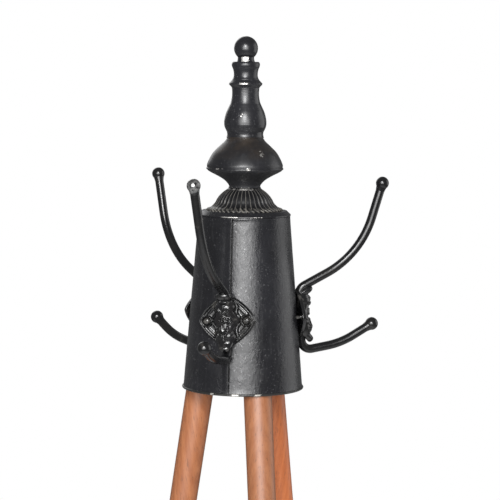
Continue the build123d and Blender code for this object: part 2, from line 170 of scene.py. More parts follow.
class Nodes:
    """Short helper for building one node material."""

    def __init__(self, name):
        self.material = bpy.data.materials.new(name)
        self.material.use_nodes = True
        self.tree = self.material.node_tree
        self.tree.nodes.clear()
        self.output = self.tree.nodes.new("ShaderNodeOutputMaterial")
        self.shader = self.tree.nodes.new("ShaderNodeBsdfPrincipled")
        self.link(self.shader.outputs[0], self.output.inputs[0])
        self.place = self.tree.nodes.new("ShaderNodeTexCoord").outputs["Object"]

    def link(self, source, target):
        self.tree.links.new(source, target)

    def put(self, target, value):
        """Sets a socket to a value, or links it if the value is another node's output."""
        if isinstance(value, bpy.types.NodeSocket):
            self.link(value, target)
        else:
            target.default_value = value

    def mapped(self, scale=(1, 1, 1), rotation=(0, 0, 0), location=(0, 0, 0), source=None):
        node = self.tree.nodes.new("ShaderNodeMapping")
        self.link(source or self.place, node.inputs["Vector"])
        node.inputs["Scale"].default_value = scale
        node.inputs["Rotation"].default_value = rotation
        node.inputs["Location"].default_value = location
        return node.outputs[0]

    def noise(self, scale, detail=3.0, roughness=0.55, vector=None, distortion=0.0):
        node = self.tree.nodes.new("ShaderNodeTexNoise")
        self.link(vector or self.place, node.inputs["Vector"])
        node.inputs["Scale"].default_value = scale
        node.inputs["Detail"].default_value = detail
        node.inputs["Roughness"].default_value = roughness
        node.inputs["Distortion"].default_value = distortion
        return node.outputs["Fac"]

    def cells(self, scale):
        node = self.tree.nodes.new("ShaderNodeTexVoronoi")
        self.link(self.place, node.inputs["Vector"])
        node.inputs["Scale"].default_value = scale
        return node.outputs["Distance"]

    def ramp(self, factor, low, high, start=0.0, end=1.0):
        """Maps low..high on the factor to start..end, clamped."""
        node = self.tree.nodes.new("ShaderNodeMapRange")
        self.put(node.inputs["Value"], factor)
        node.inputs["From Min"].default_value = low
        node.inputs["From Max"].default_value = high
        node.inputs["To Min"].default_value = start
        node.inputs["To Max"].default_value = end
        return node.outputs[0]

    def math(self, operation, a, b=0.0):
        node = self.tree.nodes.new("ShaderNodeMath")
        node.operation = operation
        self.put(node.inputs[0], a)
        self.put(node.inputs[1], b)
        return node.outputs[0]

    def mix(self, factor, a, b, kind="RGBA"):
        """Mix of two colours, or of two numbers where kind is FLOAT."""
        node = self.tree.nodes.new("ShaderNodeMix")
        node.data_type = kind
        self.put(node.inputs["Factor"], factor)
        self.put(node.inputs["A"], a)
        self.put(node.inputs["B"], b)
        return node.outputs["Result"]

    def part(self, axis, source=None):
        """One coordinate of a vector."""
        node = self.tree.nodes.new("ShaderNodeSeparateXYZ")
        self.link(source or self.place, node.inputs[0])
        return node.outputs[axis]

    def azimuth(self):
        """Degrees about the stand's axis, 0 towards the front hook."""
        towards_front = self.math("MULTIPLY", self.part("Y"), -1.0)
        return self.math("DEGREES", self.math("ARCTAN2", self.part("X"), towards_front))

    def bump(self, height, strength, distance, normal=None):
        node = self.tree.nodes.new("ShaderNodeBump")
        self.link(height, node.inputs["Height"])
        node.inputs["Strength"].default_value = strength
        node.inputs["Distance"].default_value = distance
        if normal is not None:
            self.link(normal, node.inputs["Normal"])
        return node.outputs[0]

    def finish(self, color, roughness, metallic=0.0, normal=None, **fixed):
        self.put(self.shader.inputs["Base Color"], color)
        self.put(self.shader.inputs["Roughness"], roughness)
        self.put(self.shader.inputs["Metallic"], metallic)
        if normal is not None:
            self.link(normal, self.shader.inputs["Normal"])
        for socket, value in fixed.items():
            self.shader.inputs[socket.replace("_", " ")].default_value = value
        return self.material


def rgb(red, green, blue):
    return (red, green, blue, 1.0)


def band(n, value, centre, half_width):
    """1 where the value is at the centre, fading to 0 half_width above and below it."""
    away = n.math("ABSOLUTE", n.math("SUBTRACT", value, centre))
    return n.ramp(away, 0.0, half_width, 1.0, 0.0)


def patch(n, azimuth, half_angle, z, half_height):
    """1 in the middle of a patch on the turned surfaces, fading to 0 at its edges."""
    across = n.ramp(band(n, n.azimuth(), azimuth, half_angle), 0.0, 0.5)
    return n.math("MULTIPLY", across, n.ramp(band(n, n.part("Z"), z, half_height), 0.0, 0.5))


def distressed_paint(name, edges=(), patches=(), roughness=0.27, orange_peel=0.06, extra=None):
    """Satin black paint: rubbed streaks, pale nibs, and chips that are commoner on worn edges.

    edges lists (height, reach, amount) for rings of wear.  patches lists places rubbed bare, as
    (azimuth, half angle, height, half height, amount).  extra(nodes, colour) may tint the paint.
    """
    n = Nodes(name)
    paint = (0.0070, 0.0070, 0.0084)
    z = n.part("Z")
    streaks = n.noise(1, 4, 0.6, n.mapped((190, 190, 24)))
    mottled = n.mix(n.ramp(n.noise(17, 4), 0.35, 0.7), rgb(*paint), rgb(*(1.8 * c for c in paint)))
    streaked = n.mix(n.ramp(streaks, 0.56, 0.80, 0, 0.35), mottled, rgb(0.045, 0.045, 0.048))
    nibs = n.ramp(n.noise(430, 2, 0.5), 0.62, 0.74)
    nibs = n.math("MULTIPLY", nibs, n.ramp(n.noise(21, 2), 0.40, 0.58))
    color = n.mix(n.math("MULTIPLY", nibs, 0.3), streaked, rgb(0.20, 0.20, 0.205))
    if extra is not None:
        color = extra(n, color)
    wear = n.ramp(n.noise(26, 3), 0.3, 0.8, -0.08, 0.05)
    for height, reach, amount in edges:
        patchy = n.math("MULTIPLY", band(n, z, height, reach), n.ramp(n.noise(48, 2), 0.40, 0.62))
        wear = n.math("ADD", wear, n.math("MULTIPLY", patchy, amount))
    bare = 0.0
    for azimuth, half_angle, height, half_height, amount in patches:
        place = patch(n, azimuth, half_angle, height, half_height)
        bare = n.math("ADD", n.math("MULTIPLY", place, amount), bare)
    wear = n.math("ADD", wear, bare)
    chips = n.ramp(n.math("ADD", n.noise(190, 4, 0.6, distortion=0.6), wear), 0.76, 0.79)
    metal = n.mix(n.ramp(bare, 0.1, 0.4), rgb(0.30, 0.29, 0.27), rgb(0.72, 0.70, 0.67))
    color = n.mix(chips, color, metal)
    gloss = n.ramp(n.noise(75, 4, 0.6), 0.3, 0.7, roughness - 0.05, roughness + 0.07)
    gloss = n.mix(chips, gloss, 0.30, "FLOAT")
    peel = n.bump(n.noise(1, 4, 0.65, n.mapped((260, 260, 150))), orange_peel, 0.0009)
    fine_relief = n.math("ADD", n.math("MULTIPLY", streaks, 0.4), n.math("MULTIPLY", nibs, 0.6))
    nibbed = n.bump(fine_relief, orange_peel, 0.0004, peel)
    chipped = n.bump(n.math("SUBTRACT", 1.0, chips), 0.35, 0.0003, nibbed)
    return n.finish(color, gloss, n.math("MULTIPLY", chips, 0.8), chipped, Specular_IOR_Level=0.5)


def seam_line_and_painted_glints(n, color):
    """A dark line painted along the cone's seam, and painted glints: pale specks crowded into the highlight
    band right of the seam.
    """
    seam = n.ramp(n.part("Z"), mouth_z, cone_top_z, seam_foot, seam_head)
    away = n.math("SUBTRACT", n.azimuth(), seam)
    line = n.ramp(n.math("ABSOLUTE", n.math("ADD", away, 0.15)), 0.35, 0.85, 1.0, 0.0)
    broken = n.ramp(n.noise(60, 2), 0.2, 0.5, 0.6, 1.0)
    seam_darkened = n.mix(n.math("MULTIPLY", line, broken), color, rgb(0.002, 0.002, 0.002))
    # Painted glints: pale specks kept to the band where the key light's highlight falls on the cone.
    beside = n.ramp(n.math("ABSOLUTE", n.math("SUBTRACT", away, 13.0)), 9.0, 17.0, 1.0, 0.0)
    glint_specks = n.ramp(n.noise(1, 2, 0.5, n.mapped((480, 480, 330), location=(0.3, 0.7, 0))), 0.64, 0.70)
    painted_glint_place = n.math("MULTIPLY", beside, n.ramp(n.noise(26, 2), 0.35, 0.6, 0.25, 1.0))
    return n.mix(n.math("MULTIPLY", glint_specks, n.math("MULTIPLY", painted_glint_place, 0.85)), seam_darkened, rgb(0.26, 0.26, 0.265))


def warm_haze(n, color):
    """A brownish bloom high on the bowl's dome."""
    high = n.ramp(n.part("Z"), bowl_seam.z + 10 * MM, bowl_seam.z + 24 * MM)
    patchy = n.math("MULTIPLY", high, n.ramp(n.noise(34, 3), 0.38, 0.66))
    return n.mix(n.math("MULTIPLY", patchy, 0.6), color, rgb(0.040, 0.029, 0.019))


def ridge_wear_and_flute_shade(n, color):
    """Paint rubbed to a warm grey along the bell's sharp ridges and skirt, and painted shade deep in the
    flutes' hollows.
    """
    turn = n.math("MULTIPLY", n.azimuth(), math.radians(flutes / 2))
    valley = n.math("ABSOLUTE", n.math("SINE", turn))
    ridge = n.ramp(valley, 0.0, 0.24, 1.0, 0.0)
    skirt = n.ramp(n.part("Z"), bell_low.z + 3.5 * MM, bell_low.z + 5.5 * MM, 0.75, 0.0)
    climb = n.math("MULTIPLY", n.math("SUBTRACT", n.part("Z"), bell_low.z), 1 / rope_pitch)
    strands = n.math("ADD", n.math("MULTIPLY", n.azimuth(), math.radians(skirt_teeth)), climb)
    skirt = n.math("MULTIPLY", skirt, n.ramp(n.math("COSINE", strands), 0.9, -0.4, 1.0, 0.0))
    exposed = n.math("MAXIMUM", ridge, skirt)
    rubbed = n.math("MULTIPLY", exposed, n.ramp(n.noise(110, 3), 0.35, 0.6, 0.25, 1.0))
    # Painted shade: darker the deeper into each flute's hollow.
    flute_shaded = n.mix(n.ramp(valley, 0.3, 0.9), color, rgb(0.004, 0.004, 0.0045))
    return n.mix(rubbed, flute_shaded, rgb(0.200, 0.188, 0.165))


def hook_paint(name, worn_ball=None):
    """Glossy black enamel over forged metal, with grime in places.

    worn_ball is the centre of a tip that is rubbed to bare metal.
    """
    n = Nodes(name)
    rubbed = n.ramp(n.noise(95, 3), 0.64, 0.80)
    color = n.mix(n.math("MULTIPLY", rubbed, 0.6), rgb(0.006, 0.006, 0.0065), rgb(0.050, 0.047, 0.041))
    dusty = n.mix(n.ramp(n.noise(30, 3), 0.48, 0.75, 0, 0.35), color, rgb(0.024, 0.022, 0.018))
    gloss = n.ramp(n.noise(80, 3), 0.3, 0.75, 0.16, 0.25)
    surface = n.bump(n.noise(260, 2), 0.06, 0.0005, n.bump(n.noise(70, 2), 0.12, 0.0009))
    bare = 0.0
    if worn_ball is not None:
        away = n.tree.nodes.new("ShaderNodeVectorMath")
        away.operation = "DISTANCE"
        n.link(n.place, away.inputs[0])
        away.inputs[1].default_value = worn_ball
        near = n.ramp(away.outputs["Value"], tip_ball_radius, 1.25 * tip_ball_radius, 1.0, 0.0)
        bare = n.math("MULTIPLY", near, n.ramp(n.noise(120, 3), 0.36, 0.52))
        dusty = n.mix(bare, dusty, rgb(0.34, 0.34, 0.335))
    return n.finish(dusty, gloss, bare, surface, Specular_IOR_Level=0.45)


def cast_paint(name, wear_from):
    """Satin black paint over a casting, a little dusty in patches.

    A lower wear_from rubs more of it thin.
    """
    n = Nodes(name)
    rubbed = n.ramp(n.noise(95, 3), wear_from, wear_from + 0.18)
    dust = n.ramp(n.noise(34, 3), 0.45, 0.75, 0, 0.5)
    dusty = n.mix(dust, rgb(0.004, 0.004, 0.0045), rgb(0.016, 0.015, 0.013))
    color = n.mix(n.math("MULTIPLY", rubbed, 0.5), dusty, rgb(0.110, 0.104, 0.094))
    gloss = n.ramp(n.noise(80, 3), 0.3, 0.75, 0.16, 0.27)
    return n.finish(color, gloss, 0.0, n.bump(n.noise(210, 2), 0.10, 0.0005), Specular_IOR_Level=0.75)


def worn_bead():
    """Black paint on the mouth's bead, rubbed to bare metal in a few places."""
    n = Nodes("worn_bead")
    wear = n.ramp(n.noise(24, 3), 0.35, 0.8, -0.16, 0.06)
    for azimuth, half_angle in ((8.5, 6.0), (30.0, 8.0), (-14.0, 3.0), (143.0, 7.0), (-98.0, 6.0)):
        wear = n.math("ADD", wear, n.math("MULTIPLY", band(n, n.azimuth(), azimuth, half_angle), 0.30))
    bare = n.ramp(n.math("ADD", n.noise(170, 4, 0.65), wear), 0.60, 0.64)
    metal = n.mix(n.noise(300, 2), rgb(0.66, 0.65, 0.62), rgb(0.42, 0.40, 0.36))
    color = n.mix(bare, rgb(0.016, 0.016, 0.015), metal)
    gloss = n.ramp(n.noise(200, 2), 0.3, 0.7, 0.30, 0.46)
    metallic = n.math("MULTIPLY", bare, 0.8)
    return n.finish(color, gloss, metallic, n.bump(bare, 0.4, 0.0003), Specular_IOR_Level=0.5)


def leg_wood(name, azimuth, stain_and_light_share):
    """Stained wood whose grain runs along a leg: rings round a distant pith, fine pores and soft streaks.

    The third argument scales this leg's stain as red, green and blue shares about 1. It is partly a real
    difference in the stain and partly painted light, which darkens the front leg and lightens the rear one to
    make up for the light each gets.
    """
    n = Nodes(name)
    tilt = math.atan(leg_spread)
    turned_back = n.mapped(rotation=(0, 0, -math.radians(azimuth)))
    along = n.mapped(rotation=(-tilt, 0, 0), source=turned_back)
    offset = n.mapped((1, 1, 0.035), location=(0.052 + azimuth * 1e-4, 0.031, 0), source=along)
    wobble = n.noise(9, 2, vector=offset)
    rings_node = n.tree.nodes.new("ShaderNodeTexWave")
    rings_node.wave_type = "RINGS"
    rings_node.rings_direction = "Z"
    n.link(offset, rings_node.inputs["Vector"])
    for socket, value in (("Scale", 42), ("Distortion", 5.0), ("Detail", 3.0), ("Detail Scale", 1.6)):
        rings_node.inputs[socket].default_value = value
    rings = rings_node.outputs["Fac"]
    fibres = n.noise(1, 4, 0.7, n.mapped((700, 700, 26), source=along))
    pores = n.ramp(n.noise(1, 2, 0.6, n.mapped((620, 620, 90), source=along)), 0.60, 0.68)
    streaks = n.noise(1, 3, 0.6, n.mapped((130, 130, 3.2), source=along))
    def stain(*color):
        return rgb(*(part * share for part, share in zip(color, stain_and_light_share)))
    base = n.mix(n.ramp(rings, 0.1, 0.9), stain(0.40, 0.135, 0.050), stain(0.33, 0.102, 0.035))
    toned = n.mix(n.ramp(streaks, 0.35, 0.72, 0, 0.6), base, stain(0.24, 0.066, 0.023))
    fibred = n.mix(n.ramp(fibres, 0.4, 0.75, 0, 0.5), toned, stain(0.50, 0.190, 0.082))
    pored = n.mix(n.math("MULTIPLY", pores, 0.6), fibred, stain(0.11, 0.038, 0.018))
    color = n.mix(n.ramp(wobble, 0.4, 0.7, 0, 0.25), pored, stain(0.44, 0.165, 0.068))
    gloss = n.ramp(fibres, 0.3, 0.7, 0.36, 0.50)
    surface = n.bump(n.math("SUBTRACT", fibres, pores), 0.22, 0.0003)
    return n.finish(color, gloss, 0.0, surface, Specular_IOR_Level=0.6)


def plated_steel():
    """Zinc plating with a faint spangle."""
    n = Nodes("plated_steel")
    spangle = n.cells(350)
    color = n.mix(n.ramp(spangle, 0.1, 0.8), rgb(0.56, 0.57, 0.58), rgb(0.40, 0.41, 0.42))
    gloss = n.ramp(n.noise(260, 3), 0.3, 0.7, 0.28, 0.42)
    return n.finish(color, gloss, 1.0, n.bump(n.noise(600, 3), 0.15, 0.0002))


def rough_casting(name, color):
    """Sand-cast iron."""
    n = Nodes(name)
    sand = n.noise(520, 4, 0.7)
    shade = n.mix(n.ramp(n.noise(40, 3), 0.35, 0.7), color, rgb(*(1.7 * c for c in color[:3])))
    return n.finish(shade, n.ramp(sand, 0.3, 0.7, 0.55, 0.75), 0.2, n.bump(sand, 0.5, 0.0006))


def moulded_rubber():
    """Matt rubber with a fine moulded texture and dusty patches."""
    n = Nodes("moulded_rubber")
    color = n.mix(n.ramp(n.noise(60, 3), 0.45, 0.7), rgb(0.018, 0.018, 0.019), rgb(0.06, 0.058, 0.055))
    gloss = n.ramp(n.noise(300, 2), 0.3, 0.7, 0.62, 0.8)
    return n.finish(color, gloss, 0.0, n.bump(n.noise(1400, 2), 0.3, 0.0003))


flutes, skirt_teeth = 38, 46
rope_pitch = 0.9 * MM         # rise of the skirt's strands for each radian of their wave
ring_low, ring_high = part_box("finial_ring")
ring_tip_z = ring_low.z + 5 * MM
neck_low, neck_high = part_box("finial_neck")
# The cone's paint takes a dark line along its seam and painted glints in the highlight band.
cone_paint = distressed_paint(
    "cone_paint", [(mouth_z, 0.005, 0.16), (cone_top_z, 0.003, 0.18)], orange_peel=0.42, extra=seam_line_and_painted_glints)
cap_paint = distressed_paint(
    "cap_paint", [(cone_top_z + 0.7 * MM, 0.0014, 0.2)],
    [(-1, 16, cone_top_z + 0.9 * MM, 0.0008, 0.3), (34, 12, cone_top_z + 0.9 * MM, 0.0008, 0.24)])
# The bell's paint takes painted shade in its flutes' hollows.
bell_paint = distressed_paint(
    "bell_paint", [(bell_low.z + 2 * MM, 0.004, 0.06)], [(8, 60, bell_high.z - 0.8 * MM, 0.0022, 0.33)],
    roughness=0.38, extra=ridge_wear_and_flute_shade)
bowl_paint = distressed_paint(
    "bowl_paint", [(bowl_seam.z, 0.0014, 0.12)],
    [(-26, 12, bowl_seam.z + 0.4 * MM, 0.0012, 0.26), (22, 5, bowl_seam.z + 0.6 * MM, 0.003, 0.33),
     (48, 8, bowl_seam.z + 19 * MM, 0.006, 0.25)], roughness=0.34, extra=warm_haze)
pan_paint = distressed_paint("pan_paint", [(bowl_low.z + 1 * MM, 0.0024, 0.30)], roughness=0.55)
vase_paint = distressed_paint(
    "vase_paint", [(vase_low.z + 0.5 * MM, 0.0012, 0.12)],
    [(0, 15, vase_low.z + 27 * MM, 0.004, 0.24), (41, 4, vase_low.z + 15 * MM, 0.004, 0.25)], roughness=0.28)
ring_paint = distressed_paint("ring_paint", patches=[(8, 20, ring_tip_z + 0.2 * MM, 0.0016, 0.55)])
neck_paint = distressed_paint("neck_paint", patches=[(9, 34, (neck_low.z + neck_high.z) / 2, 0.006, 0.6)])
ball_paint = distressed_paint("ball_paint", roughness=0.27)
front_rod_low, front_rod_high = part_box("hook_rod_front")
front_ball = (-math.sin(hook_lean) * (front_rod_high.z - plate_z), front_rod_low.y + tip_ball_radius,
              front_rod_high.z - tip_ball_radius)
enamel = hook_paint("hook_enamel")
front_enamel = hook_paint("front_hook_enamel", worn_ball=front_ball)
castings = cast_paint("cast_paint", 0.60)
steel = plated_steel()
# The carried-over CAD nodes take their materials here.
node_materials = {
    "top_cap": cap_paint,
    "finial_ring": ring_paint,
    "finial_collar": vase_paint,
    "finial_lip": vase_paint,
    "finial_neck": neck_paint,
    "finial_ball": ball_paint,
    "tie_rod": steel,
    "tie_rod_nut": steel,
    "tie_rod_washer": steel,
    "tie_rod_spacer": steel,
    "cross_bolts": steel,
    "cross_bolt_nuts": steel,
    "plate_screws": cast_paint("screw_paint", 0.42),
    "plate_screw_nuts": steel,
    "glide_screws": steel,
    "leg_crown": rough_casting("crown_casting", rgb(0.05, 0.05, 0.052)),
    "mouth_plate": rough_casting("mouth_plate_paint", rgb(0.028, 0.028, 0.030)),
}
rubber = moulded_rubber()
for side in leg_azimuths:
    node_materials[f"foot_glide_{side}"] = rubber
for side in hook_azimuths:
    node_materials[f"hook_rod_{side}"] = front_enamel if side == "front" else enamel
for name, material in node_materials.items():
    node = nodes[name]
    node.data.materials.clear()
    node.data.materials.append(material)

# ======== conical head ====================================================================
cone_columns, cone_rows = 560, 110
sheet = 1.5 * MM
lap_step = 0.6 * MM           # the left edge lies this much above the right one
lap_dip, lap_near, lap_far = 1.25 * MM, 10 * MM, 46 * MM
gutter_depth, gutter_reach = 1.1 * MM, 1.3 * MM
seam_crowding = 0.9           # how much closer the columns stand beside the seam


def seam_offset(azimuth, radius):
    """Offset of the sheet, negative inwards, at an azimuth from its lap seam.

    It dips on the left of the seam and rises on the right.
    """
    away = math.remainder(azimuth, math.tau) * radius
    gutter = -gutter_depth * bump_at(away, 0, gutter_reach)
    if away >= 0:
        return gutter - lap_step * (1 - smoothstep(lap_near, lap_far, away))
    return gutter - lap_dip * smoothstep(0, lap_near, -away) * (1 - smoothstep(lap_near, lap_far, -away))


def dent(azimuth, z):
    """Shallow hammered waviness, inward only."""
    x, y = math.sin(azimuth), math.cos(azimuth)
    broad = grain_noise(x, y, z * 11, 1.3) + 0.5 * grain_noise(x, y, z * 30, 3.1)
    return -0.22 * MM * (1 + broad)


def cone_point(row, column):
    share = (column + 0.5) / cone_columns
    share -= seam_crowding * math.sin(math.tau * share) / math.tau
    from_seam = math.tau * share
    outer = row < cone_rows
    step = row if outer else 2 * cone_rows - 1 - row
    z = mouth_z + (cone_top_z - mouth_z) * step / (cone_rows - 1)
    azimuth = math.radians(seam_azimuth(z)) + from_seam
    radius = cone_radius(z)
    fade = smoothstep(mouth_z, mouth_z + 0.008, z) * (1 - smoothstep(cone_top_z - 0.004, cone_top_z, z))
    radius += (seam_offset(from_seam, radius) + dent(azimuth, z)) * fade
    if not outer:
        radius -= sheet
    return on_axis(radius, azimuth, z)


cone_verts, cone_faces = ring_grid(2 * cone_rows, cone_columns, cone_point, closed_rows=True)
add_piece("cone_sheet", cone_verts, cone_faces, cone_paint, ["cone_shell"])

# ---- rolled bead round the mouth, uneven as if beaten over a wire ------------------------
bead_radius = 1.45 * MM
bead_sides, bead_columns = 14, 480


def bead_point(row, column):
    turn = math.tau * row / bead_sides
    azimuth = math.tau * column / bead_columns
    x, y = math.sin(azimuth), math.cos(azimuth)
    uneven = 0.16 * MM * grain_noise(x, y, 0.3, 19) + 0.12 * MM * grain_noise(x, y, 0.7, 5)
    z = mouth_z + bead_radius + (bead_radius + uneven) * math.sin(turn)
    radius = cone_radius(mouth_z) - 0.2 * MM + (bead_radius + uneven) * math.cos(turn)
    return on_axis(min(radius, mouth_radius + 1.2 * MM), azimuth, max(z, mouth_z + 0.05 * MM))


bead_verts, bead_faces = ring_grid(bead_sides, bead_columns, bead_point, closed_rows=True)
add_piece("mouth_roll", bead_verts, bead_faces, worn_bead(), ["mouth_bead"])

# ======== legs ============================================================================
leg_rows, leg_columns = 230, 72
hole_sides = 32
sanding_depth = 0.10 * MM
hole_edge_angle = math.radians(40)


def leg_offset(z):
    """Distance of a leg's axis from the stand's axis at height z."""
    return leg_offset_at_mouth + leg_spread * (mouth_z - z)


def drill(piece, place, radius, length):
    """Cuts a round hole of this length, centred on a place along its own Z."""
    mesh = bpy.data.meshes.new("drill")
    cutter_mesh = bmesh.new()
    bmesh.ops.create_cone(
        cutter_mesh, cap_ends=True, segments=hole_sides, radius1=radius, radius2=radius, depth=length)
    cutter_mesh.to_mesh(mesh)
    cutter_mesh.free()
    cutter = bpy.data.objects.new("drill", mesh)
    cutter.matrix_world = place
    bpy.context.scene.collection.objects.link(cutter)
    cut = piece.modifiers.new("hole", "BOOLEAN")
    cut.object = cutter
    graph = bpy.context.evaluated_depsgraph_get()
    drilled = bpy.data.meshes.new_from_object(piece.evaluated_get(graph))
    piece.modifiers.remove(cut)
    piece.data = drilled
    bpy.data.objects.remove(cutter)


def turned_leg(side, azimuth):
    """Round leg, parallel inside the head and tapered below it.

    Faint flats are left by the lathe and the sander.
    """
    foot_z, top_z = (corner.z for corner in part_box(f"leg_{side}"))
    turn = Matrix.Rotation(math.radians(azimuth), 4, "Z")
    stretch = math.hypot(1, leg_spread)

    def point(row, column):
        z = foot_z + (top_z - foot_z) * row / (leg_rows - 1)
        around_leg = math.tau * column / leg_columns
        across, outward = math.sin(around_leg), math.cos(around_leg)
        radius = leg_radius - (leg_radius - leg_foot_radius) * max(mouth_z - z, 0) / (mouth_z - foot_z)
        broad = grain_noise(across + azimuth, outward, z * 5, 1.4)
        sanded = broad + 0.4 * grain_noise(across, outward, z * 22, 2.6)
        radius -= sanding_depth * (1 + sanded)
        return turn @ Vector((radius * across, -leg_offset(z) - radius * stretch * outward, z))

    verts, faces = ring_grid(leg_rows, leg_columns, point)
    last = (leg_rows - 1) * leg_columns
    faces.append(tuple(reversed(range(leg_columns))))
    faces.append(tuple(range(last, last + leg_columns)))
    wood = leg_wood(f"leg_wood_{side}", azimuth, leg_stain_and_light_shares[side])
    piece = add_piece(f"turned_leg_{side}", verts, faces, wood, [f"leg_{side}"])
    bolt_centre = Matrix.Translation((0, -leg_offset(cross_bolt_z), cross_bolt_z))
    bolt = turn @ bolt_centre @ Matrix.Rotation(math.pi / 2, 4, "Y")
    drill(piece, bolt, cross_bolt_hole, 4 * leg_radius)
    screw = turn @ Matrix.Translation((0, -leg_offset(0), foot_z))
    drill(piece, screw, glide_screw_hole, 2 * glide_screw_hole_depth)
    piece.data.set_sharp_from_angle(angle=hole_edge_angle)


for side, azimuth in leg_azimuths.items():
    turned_leg(side, azimuth)

# ======== finial ==========================================================================
skin = 1.2 * MM               # thickness of the spun and pressed sheet
flute_depth = 2.1 * MM
skirt_gutter = 0.7 * MM
solder_height = 1.3 * MM


def raised(points, base):
    """(radius, height) points in millimetres, lifted onto a base height in metres."""
    return [(r * MM, base + h * MM) for r, h in points]


def closed_outline(outer, thickness):
    """Outer line out and the same line back, moved inwards, as one closed outline."""
    inner = [Vector((p[0] - thickness, p[1])) for p in reversed(outer)]
    return [*outer, *inner]


# ---- fluted bell with a scalloped skirt ----
bell_line = smooth_line(raised(
    [(47.3, 0.0), (47.6, 1.2), (46.6, 2.6), (44.6, 3.2), (40.4, 5.6), (36.8, 9.4), (34.4, 14.0), (31.1, 18.6),
     (26.5, 23.0), (22.0, 26.2), (20.0, 28.0)], bell_low.z), 7)


def bell_shape(r, azimuth, z, row):
    """Wide hollow flutes between sharp ridges, above a skirt with a roped edge."""
    if row >= len(bell_line):
        return r, z
    height = (z - bell_low.z) / (bell_high.z - bell_low.z)
    hollow = abs(math.sin(flutes / 2 * azimuth)) ** 0.8
    fluted = smoothstep(0.13, 0.24, height) * (1 - smoothstep(0.86, 0.98, height))
    rope = 0.5 - 0.5 * math.cos(skirt_teeth * azimuth + (z - bell_low.z) / rope_pitch)
    roped = 1 - smoothstep(0.10, 0.14, height)
    gutter = -skirt_gutter * bump_at(height, 0.15, 0.035)
    shallower = 0.45 + 0.55 * r / bell_high.x
    return r - (flute_depth * hollow * fluted + flute_depth * rope * roped) * shallower + gutter, z


lathe("fluted_bell", closed_outline(bell_line, skin), flutes * 16, bell_shape, bell_paint, ["finial_bell"])

# ---- bowl: lower pan, upper dome with its crimped rim ----
bowl_lower_line = smooth_line(raised(
    [(19.3, 0.0), (20.2, 0.8), (19.4, 1.8), (19.8, 3.2), (20.6, 4.6), (25.0, 9.4), (32.6, 14.3), (42.6, 19.4),
     (46.2, 21.8), (47.0, 23.2), (46.8, 24.4)], bowl_low.z), 6)
bowl_upper_line = smooth_line(raised(
    [(46.4, -1.6), (47.6, -1.5), (48.1, -0.6), (47.9, 0.5), (47.2, 0.8), (47.3, 2.0), (47.0, 5.3),
     (43.6, 12.8), (38.9, 20.3), (31.4, 27.8), (25.6, 33.2), (23.4, 36.2), (22.7, 37.2), (23.3, 38.2),
     (22.9, 39.0)],
    bowl_seam.z), 6)
solder_azimuth, solder_size = math.radians(22), 3.4 * MM


def bowl_wave(r, azimuth, z, row):
    """Slightly uneven spinning, and the rim's crimped edge wanders a little."""
    x, y = math.sin(azimuth), math.cos(azimuth)
    near_rim = bump_at(z, bowl_seam.z, 4 * MM)
    spun = 0.10 * MM * grain_noise(x, y, z * 20, 2.2)
    crimped = 0.22 * MM * near_rim * abs(grain_noise(x, y, 0.2, 7))
    return r + (spun - crimped), z + 0.25 * MM * near_rim * grain_noise(x, y, 0.9, 2.4)


def bowl_upper_shape(r, azimuth, z, row):
    """The same, with a drop of solder on the rim."""
    r, z = bowl_wave(r, azimuth, z, row)
    away = math.hypot(math.remainder(azimuth - solder_azimuth, math.tau) * r, (z - bowl_seam.z) * 1.2)
    return r + solder_height * bump_at(away, 0, solder_size), z


lathe("bowl_pan", closed_outline(bowl_lower_line, skin), 256, bowl_wave, pan_paint, ["finial_bowl_lower"])
lathe("bowl_dome", closed_outline(bowl_upper_line, skin), 384, bowl_upper_shape, bowl_paint,
      ["finial_bowl_upper"])

# ---- vase: a stepped foot, the bulge and the long waist ----
vase_line = smooth_line(raised(
    [(23.1, 0.0), (22.6, 1.4), (22.4, 3.4), (22.8, 6.0), (23.7, 8.0), (24.8, 10.2), (25.8, 12.8),
     (26.3, 16.6), (25.9, 22.0), (23.9, 30.0), (20.6, 37.4), (18.3, 42.6), (16.9, 50.0), (16.7, 55.4),
     (17.1, 60.8)],
    vase_low.z), 6)


def vase_shape(r, azimuth, z, row):
    """Fine turning rings left by the spinning tool."""
    rings = 0.035 * MM * math.sin(z / (0.55 * MM))
    return r + rings + 0.05 * MM * grain_noise(math.sin(azimuth), z * 30, 0.1, 3), z


lathe("vase_spinning", closed_outline(vase_line, skin), 192, vase_shape, vase_paint, ["finial_vase"])

# ======== hook plates =====================================================================
plate_half_width, plate_half_height = 36.3, 32.0
plate_power = 1.4
plate_back, plate_ground, plate_edge = 0.3, 2.8, 1.0
plate_bevel = 1.4
rim_inset, rim_height = 2.1, 2.6
ribbon_inset, ribbon_half_width, ribbon_height = 7.0, 2.2, 1.1
footing_height, footing_half_width = 3.4, 2.3
cup_place, cup_wall, cup_floor = 25.3, 6.3, 3.4
cup_rim_height, cup_rim_half_width = 3.0, 1.9
petal_count = 6
eye_place, flower_place = (-2.0, 1.4), (7.0, -0.4)
